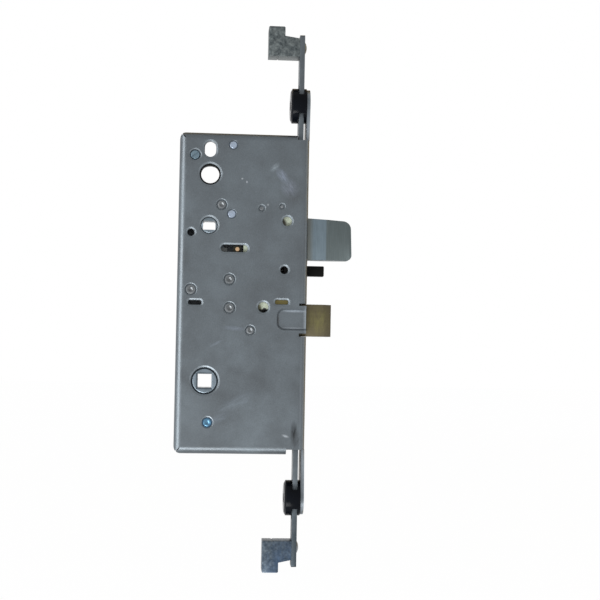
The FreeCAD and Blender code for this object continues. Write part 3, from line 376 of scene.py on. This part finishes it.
def eased(node, name, material, ease):
    """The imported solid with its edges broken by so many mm, as tumbling or moulding leaves them."""
    flat_within = math.radians(0.5)
    sharp_above = math.radians(25)
    smooth_below = math.radians(35)
    source = frame["nodes"][node]
    piece = bpy.data.objects.new(name, source.data.copy())
    bpy.context.scene.collection.objects.link(piece)
    bpy.ops.object.select_all(action="DESELECT")
    piece.select_set(True)
    bpy.context.view_layer.objects.active = piece
    bpy.ops.mesh.customdata_custom_splitnormals_clear()
    bpy.ops.object.mode_set(mode="EDIT")
    bpy.ops.mesh.select_mode(type="EDGE")
    bpy.ops.mesh.select_all(action="SELECT")
    bpy.ops.mesh.remove_doubles(threshold=weld)
    bpy.ops.mesh.dissolve_limited(angle_limit=flat_within)
    bpy.ops.mesh.select_all(action="DESELECT")
    bpy.ops.mesh.edges_select_sharp(sharpness=sharp_above)
    bpy.ops.mesh.bevel(offset=ease * MM, segments=2, affect="EDGES", clamp_overlap=True)
    bpy.ops.object.mode_set(mode="OBJECT")
    bpy.ops.object.shade_smooth_by_angle(angle=smooth_below)
    piece.data.materials.clear()
    piece.data.materials.append(material)
    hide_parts(node)
    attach(piece, source["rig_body"])


def coil(node, name, along, turns, wire):
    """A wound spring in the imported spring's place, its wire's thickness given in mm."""
    wire_sides = 8
    steps_per_turn = 24
    quarter = math.radians(90)
    smooth_below = math.radians(50)
    low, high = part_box(node)
    middle = (low + high) / 2
    thick = wire * MM / 2
    length = high[along] - low[along]
    bpy.ops.object.select_all(action="DESELECT")
    bpy.ops.mesh.primitive_circle_add(vertices=wire_sides, radius=thick, rotation=(quarter, 0, 0),
                                      location=((high.y - low.y) / 2 - thick, 0, 0))
    piece = bpy.context.active_object
    piece.name = name
    bpy.ops.object.transform_apply()
    winding = piece.modifiers.new("winding", "SCREW")
    winding.screw_offset = (length - 2 * thick) / turns
    winding.iterations = turns
    winding.steps = steps_per_turn
    winding.render_steps = steps_per_turn
    bpy.ops.object.modifier_apply(modifier="winding")
    bpy.ops.object.mode_set(mode="EDIT")
    bpy.ops.mesh.select_all(action="SELECT")
    bpy.ops.mesh.remove_doubles(threshold=weld)
    bpy.ops.mesh.fill_holes(sides=wire_sides)
    bpy.ops.mesh.normals_make_consistent(inside=False)
    bpy.ops.object.mode_set(mode="OBJECT")
    bpy.ops.object.shade_smooth_by_angle(angle=smooth_below)
    middle[along] = low[along] + thick
    piece.location = middle
    piece.rotation_euler = (0, quarter if along == 0 else 0, 0)
    bpy.ops.object.transform_apply()
    piece.data.materials.append(spring_steel)
    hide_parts(node)
    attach(piece, "case")
    axis = Vector((0, 0, 0))
    axis[along] = 1
    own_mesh(piece)


# The latch's bevelled nose is painted darker from its root outwards, a painted shade, and the latch is
# greyest at the forend
nose_root = 10.9
nose_reach = 100
latch_z = 36
nose_painted_shade = mark((nose_root + nose_reach, 0, latch_z), (nose_reach, far, far), (82, 90, 91), 200.0)
grey_root = mark((0.2, 0, latch_z), (3.6, far, far), (92, 96, 94), 1.4, 0.1)
latch_zinc = finish("latch_zinc", (90, 102, 109), (100, 113, 121), roughness=0.38, grain=(1500, 900, 60),
                    depth=0.12, cloud_size=60, marks=[nose_painted_shade, grey_root])
eased("latch_head", "latch_bolt", latch_zinc, 0.4)

# The guides show through two sight holes only, and the marks are the shade that lies on them
guide_y = -7.0
through = 30
nylon_cream = finish("nylon_cream", (150, 158, 142), (138, 143, 124), metallic=0.0, roughness=0.5,
                     grain=(900, 900, 900), depth=0.04, cloud_size=300,
                     marks=[mark((-15.9, guide_y, 45.2), (3.2, through, 4.0), (40, 38, 24), 3.0),
                            mark((-29.4, guide_y, -6.0), (3.0, through, 4.0), (72, 72, 48), 2.4),
                            mark((-25.3, guide_y, -6.6), (1.7, through, 1.7), (6, 6, 5), 5.0)])
dress(nylon_cream, "latch_guide")
coil("latch_spring", "latch_coil", along=0, turns=22, wire=0.7)

# Trigger: a button of black nylon on a carrier of blackened sheet, wet with oil, the two
# held together by a brass pin. A coil spring behind the carrier pushes them out.
eased("trigger_head", "trigger_button", nylon_black, 0.3)
# The carrier has a black spot of painted shade where it shows through the sight hole in front of it.
oiled_steel = finish("oiled_steel", (34, 34, 29), (46, 46, 38), roughness=0.5, grain=(500, 500, 60),
                     marks=[mark((-13.4, 0, 17.6), (5, through, 5), (4, 4, 4), 4.0)])
dress(oiled_steel, "trigger_carrier")
pin_brass = finish("pin_brass", (138, 108, 78), (176, 152, 122), grain=(900, 900, 900))
dress(pin_brass, "trigger_pin")
coil("trigger_spring", "trigger_coil", along=0, turns=16, wire=0.5)

# Deadbolt: steel with a dull brass-toned plating, riveted to a tail of sheet steel that the
# thumbturn hub moves. It slides along a guide of cream nylon, and a brass leaf drags on it.
bolt_brass = finish("bolt_brass", (73, 66, 50), (79, 73, 56), metallic=0.7, grain=(60, 900, 900),
                    cloud_size=90,
                    marks=[mark((7.2, -5.5, -11.8), (10, 14, 11), (96, 92, 58), 1.2, 0.75)])
eased("deadbolt_head", "deadbolt", bolt_brass, 0.3)
inner_steel = finish("inner_steel", (74, 76, 76), (92, 94, 94), grain=(500, 500, 60))
dress(inner_steel, "deadbolt_tail")
dress(rivet_steel, "deadbolt_tail_rivets")
dress(nylon_cream, "deadbolt_guide")
leaf_brass = finish("leaf_brass", (92, 84, 50), (112, 104, 66), roughness=0.4, grain=(900, 900, 900))
dress(leaf_brass, "deadbolt_brake_leaf")

# Drive slides, reversing lever and latch lever: blanked from sheet steel, with riveted pins.
# The two levers turn on one post, and a coil spring pushes the bottom slide back down.
dress(inner_steel, "bottom_drive_slide", "top_drive_slide", "reversing_lever", "latch_lever")
dress(rivet_steel, "reversing_lever_pins", "latch_lever_pins")
coil("drive_return_spring", "slide_coil", along=2, turns=14, wire=0.8)

# Rod strips: flat steel bar, zinc plated, riveted to the drive slides and lying close behind
# the forend. The bottom one is darker round its lower end.
strip_steel = finish("strip_steel", (76, 81, 85), (86, 93, 98), grain=(900, 900, 60), depth=0.08,
                     marks=[mark((-5, 0, -152), (60, 60, 34), (52, 59, 64), 3.0, 0.6)])
eased("top_rod_strip", "top_bar", strip_steel, 0.3)
eased("bottom_rod_strip", "bottom_bar", strip_steel, 0.3)
dress(rivet_steel, "top_slide_rivets", "bottom_slide_rivets")

# Guide discs behind the tongues: black nylon, moulded with a channel for the strip, and
# glossy where the strips rub them.
disc_black = nylon("disc_black", (3, 4, 7), (9, 12, 17), roughness=0.2, specular=0.05, grain=420, bump=1.0)
eased("upper_guide_disc", "upper_disc", disc_black, 0.6)
eased("lower_guide_disc", "lower_disc", disc_black, 0.6)

# Rod blocks: cast zinc, mottled, each held on the end of its strip by one domed rivet. They
# take the rods that lock the door at its top and bottom.
block_zinc = finish("block_zinc", (52, 59, 62), (104, 110, 110), roughness=0.4, grain=(760, 760, 760),
                    depth=0.34, cloud_size=460,
                    marks=[mark((-15, 0, -154), (60, 60, 60), (48, 64, 84), 1.0, 0.45)])
eased("top_rod_block", "top_keep_block", block_zinc, 0.3)
eased("bottom_rod_block", "bottom_keep_block", block_zinc, 0.3)
dress(rivet_steel, "top_block_rivet", "bottom_block_rivet")

# Cover plate: the same sheet as the pan, laid on the far side when all is in place. One
# slotted screw through the pan holds it, in a threaded post.
cover_steel = finish("cover_steel", (106, 111, 115), (116, 121, 126), grain=(60, 60, 500), depth=0.05)
dress(cover_steel, "cover_plate")
screw_steel = finish("screw_steel", (92, 110, 121), (112, 129, 139), roughness=0.3, grain=(900, 900, 900))
sloped(screw_steel, [opening(cover_screw_x, cover_screw_z, 3.0)], width=0.7, depth=0.3, crown=True)
dress(screw_steel, "cover_screw")
dress(rivet_steel, "screw_post")


# Studio: a white floor, a white surround that the metal mirrors, two brown cards behind the
# lock, on the right and above, that its bends and rims mirror, and three softboxes, low on
# the left, below, and in front of the forend.
def card(name, paint, centre, wide, deep, on_edge=False):
    """A flat painted card of the studio, level or standing on edge."""
    bpy.ops.object.select_all(action="DESELECT")
    bpy.ops.mesh.primitive_plane_add(size=1, location=centre,
                                     rotation=(0, math.radians(90) if on_edge else 0, 0))
    sheet = bpy.context.active_object
    sheet.name = name
    sheet.scale = (wide, deep, 1)
    bpy.ops.object.transform_apply()
    sheet.data.materials.append(paint)
    return sheet


white = (1, 1, 1, 1)
ground = cad_box[0][2] - 0.1 * MM
floor_side = 8
floor_paint = bpy.data.materials.new("floor_paint")
floor_paint.use_nodes = True
tree = floor_paint.node_tree
shader = tree.nodes["Principled BSDF"]
shader.inputs["Base Color"].default_value = (0.9, 0.9, 0.9, 1)
shader.inputs["Roughness"].default_value = 0.9
glow = add(tree, "Emission", Color=white, Strength=1.0)
glow_seen = 0.985
glow_share = maths(tree, "MULTIPLY", add(tree, "LightPath").outputs["Is Camera Ray"], glow_seen)
seen = add(tree, "MixShader", Fac=glow_share)
feed(tree, seen.inputs[1], shader.outputs["BSDF"])
feed(tree, seen.inputs[2], glow.outputs["Emission"])
feed(tree, tree.nodes["Material Output"].inputs["Surface"], seen.outputs["Shader"])
floor = card("studio_floor", floor_paint, (0, 0, ground), floor_side, floor_side)
floor.visible_shadow = False
floor.visible_glossy = False

card_paint = bpy.data.materials.new("card_paint")
card_paint.use_nodes = True
shader = card_paint.node_tree.nodes["Principled BSDF"]
shader.inputs["Base Color"].default_value = (0.45, 0.36, 0.22, 1)
shader.inputs["Roughness"].default_value = 1.0
card_near, card_far = 0.05, 1.2
card_y = (card_near + card_far) / 2
card_deep = card_far - card_near
right_x, right_top = 0.5, 0.9
right_card = card("right_card", card_paint, (right_x, card_y, (right_top + ground) / 2),
                  right_top - ground, card_deep, on_edge=True)
top_left, top_z = -0.7, 0.7
top_card = card("top_card", card_paint, ((top_left + right_x) / 2, card_y, top_z),
                right_x - top_left, card_deep)
for sheet in (right_card, top_card):
    sheet.visible_camera = False
    sheet.visible_shadow = False

world = bpy.data.worlds.new("studio")
bpy.context.scene.world = world
world.use_nodes = True
tree = world.node_tree
rays = add(tree, "LightPath").outputs
mirrored = maths(tree, "MAXIMUM", rays["Is Camera Ray"], rays["Is Glossy Ray"])
mirrored = maths(tree, "MAXIMUM", mirrored, rays["Is Transmission Ray"])
soft_grey = (0.7, 0.71, 0.73, 1)
feed(tree, tree.nodes["Background"].inputs["Color"], mix(tree, mirrored, soft_grey, white))


def lamp(name, place, aim, size, power):
    """A softbox at a place, turned to its aim, with its sides in metres and its power in watts."""
    light = bpy.data.lights.new(name, "AREA")
    light.shape = "RECTANGLE"
    light.size, light.size_y = size
    light.energy = power
    holder = bpy.data.objects.new(name, light)
    bpy.context.scene.collection.objects.link(holder)
    holder.location = place
    holder.rotation_euler = (Vector(aim) - Vector(place)).to_track_quat("-Z", "Y").to_euler()
    holder.visible_camera = False


case_middle = (-0.04, 0, 0)
forend_middle = (0, 0, 0)
lamp("left_box", (-0.95, -0.50, -0.08), case_middle, size=(0.6, 0.9), power=12)
lamp("under_box", (-0.38, -0.52, -0.66), case_middle, size=(0.8, 0.35), power=13)
lamp("forend_box", (0.75, -0.75, -0.35), forend_middle, size=(0.6, 0.6), power=2)

# Camera: 0.7 m in front of the pan and a little below the deadbolt, turned slightly up and
# to the right. Its place, turn and lens are the photograph's, fitted to points of the lock.
eye = (-0.055606, -0.706679, -0.031229)
yaw, pitch, roll = 0.0734, 0.0446, 0.0173
focal_pixels = 1176.56
picture_pixels = 600
sensor_wide = 36
ahead = Vector((math.sin(yaw) * math.cos(pitch), math.cos(yaw) * math.cos(pitch), math.sin(pitch)))
level = Vector((math.cos(yaw), -math.sin(yaw), 0))
upright = level.cross(ahead)
right = math.cos(roll) * level + math.sin(roll) * upright
up = -math.sin(roll) * level + math.cos(roll) * upright
lens = bpy.data.cameras.new("camera")
lens.sensor_width = sensor_wide
lens.lens = focal_pixels / picture_pixels * sensor_wide
lens.clip_start = 0.01
camera = bpy.data.objects.new("camera", lens)
bpy.context.scene.collection.objects.link(camera)
turned = Matrix((right, up, -ahead)).transposed().to_4x4()
camera.matrix_world = Matrix.Translation(eye) @ turned
bpy.context.scene.camera = camera
bpy.context.scene.view_settings.view_transform = "Standard"
